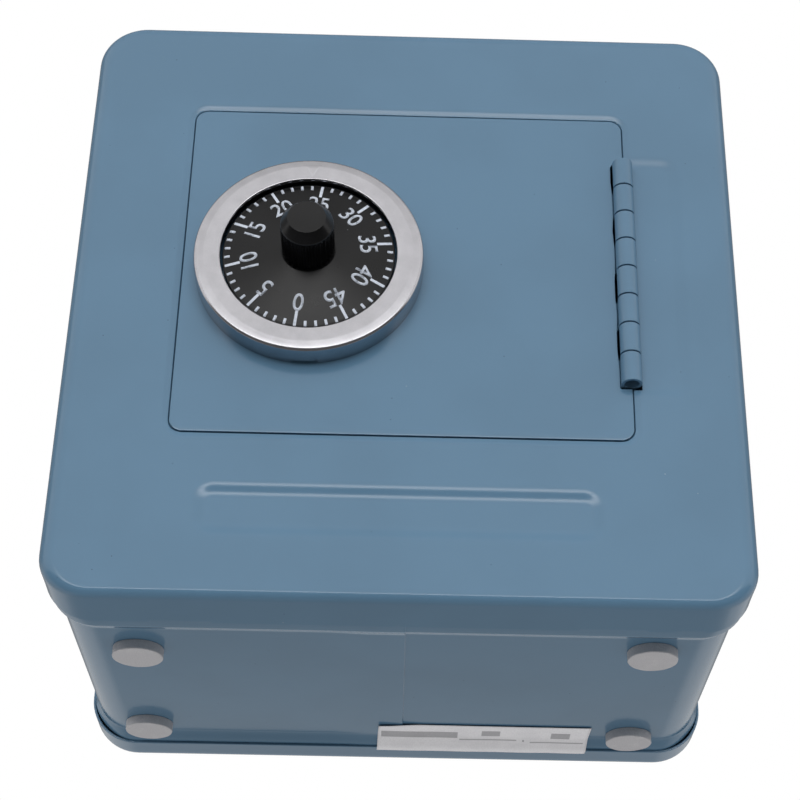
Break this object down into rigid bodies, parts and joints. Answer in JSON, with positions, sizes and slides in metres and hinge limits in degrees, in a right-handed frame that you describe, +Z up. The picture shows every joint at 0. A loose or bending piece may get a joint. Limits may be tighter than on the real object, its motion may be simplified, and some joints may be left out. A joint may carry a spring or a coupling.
{
  "type": "toy safe coin bank",
  "caption": "Toy safe coin bank: pressed metal case with slip-on covers, hinged front door, numbered combination dial with ring and knob, coin slot on top and foam feet.",
  "frame": {"origin": "middle of the bounding box, on the surface that the four foot pads stand on", "axes": "+Z up, -Y out of the front door, +X towards the hinge side"},
  "size_m": [0.127, 0.0978, 0.1292],
  "materials": {
    "case_paint": "semi-gloss grey-blue stoving enamel with fine orange peel and dust specks",
    "ring_steel": "satin stamped face with a polished rounded edge",
    "bright_steel": "plain turned and drawn steel",
    "zinc_steel": "zinc plated sheet",
    "brass": "plain turned brass",
    "dial_plastic": "black, satin, with white printed scale",
    "knob_plastic": "black, satin, fluted",
    "foam": "grey closed-cell foam, matte",
    "label_paper": "white matte paper"
  },
  "bodies": {
    "case": {"body_shell": "case_paint", "front_cover": "case_paint", "back_cover": "case_paint", "hinge_frame_leaf": "case_paint", "hinge_pin": "bright_steel", "strike_plate": "zinc_steel", "foot_front_left": "foam", "foot_front_right": "foam", "foot_back_left": "foam", "foot_back_right": "foam", "label": "label_paper"},
    "door": {"door_panel": "case_paint", "hinge_door_leaf": "case_paint", "dial_ring": "ring_steel", "spindle_bush": "brass", "lock_bridge": "zinc_steel", "bridge_rivets": "bright_steel"},
    "dial": {"dial_disc": "dial_plastic", "knob": "knob_plastic", "spindle": "bright_steel", "spring_washer": "bright_steel", "drive_disc": "zinc_steel", "drive_pin": "bright_steel", "spacer_washer": "bright_steel", "wheel_collar": "bright_steel", "retaining_clip": "bright_steel"},
    "wheel": {"combination_wheel": "zinc_steel", "wheel_pin": "bright_steel"}
  },
  "joints": [
    {"name": "door_hinge", "type": "hinge", "parent": "case", "child": "door", "pos_m": [0.042, -0.03405, 0.07064], "axis": [0, 0, 1], "range_deg": [0, 160]},
    {"name": "dial_spin", "type": "hinge", "parent": "door", "child": "dial", "pos_m": [-0.0186, -0.0333, 0.07064], "axis": [0, -1, 0], "continuous": true},
    {"name": "wheel_turn", "type": "hinge", "parent": "dial", "child": "wheel", "pos_m": [-0.0186, -0.0333, 0.07064], "axis": [0, -1, 0], "range_deg": [-34, 304]}
  ]
}
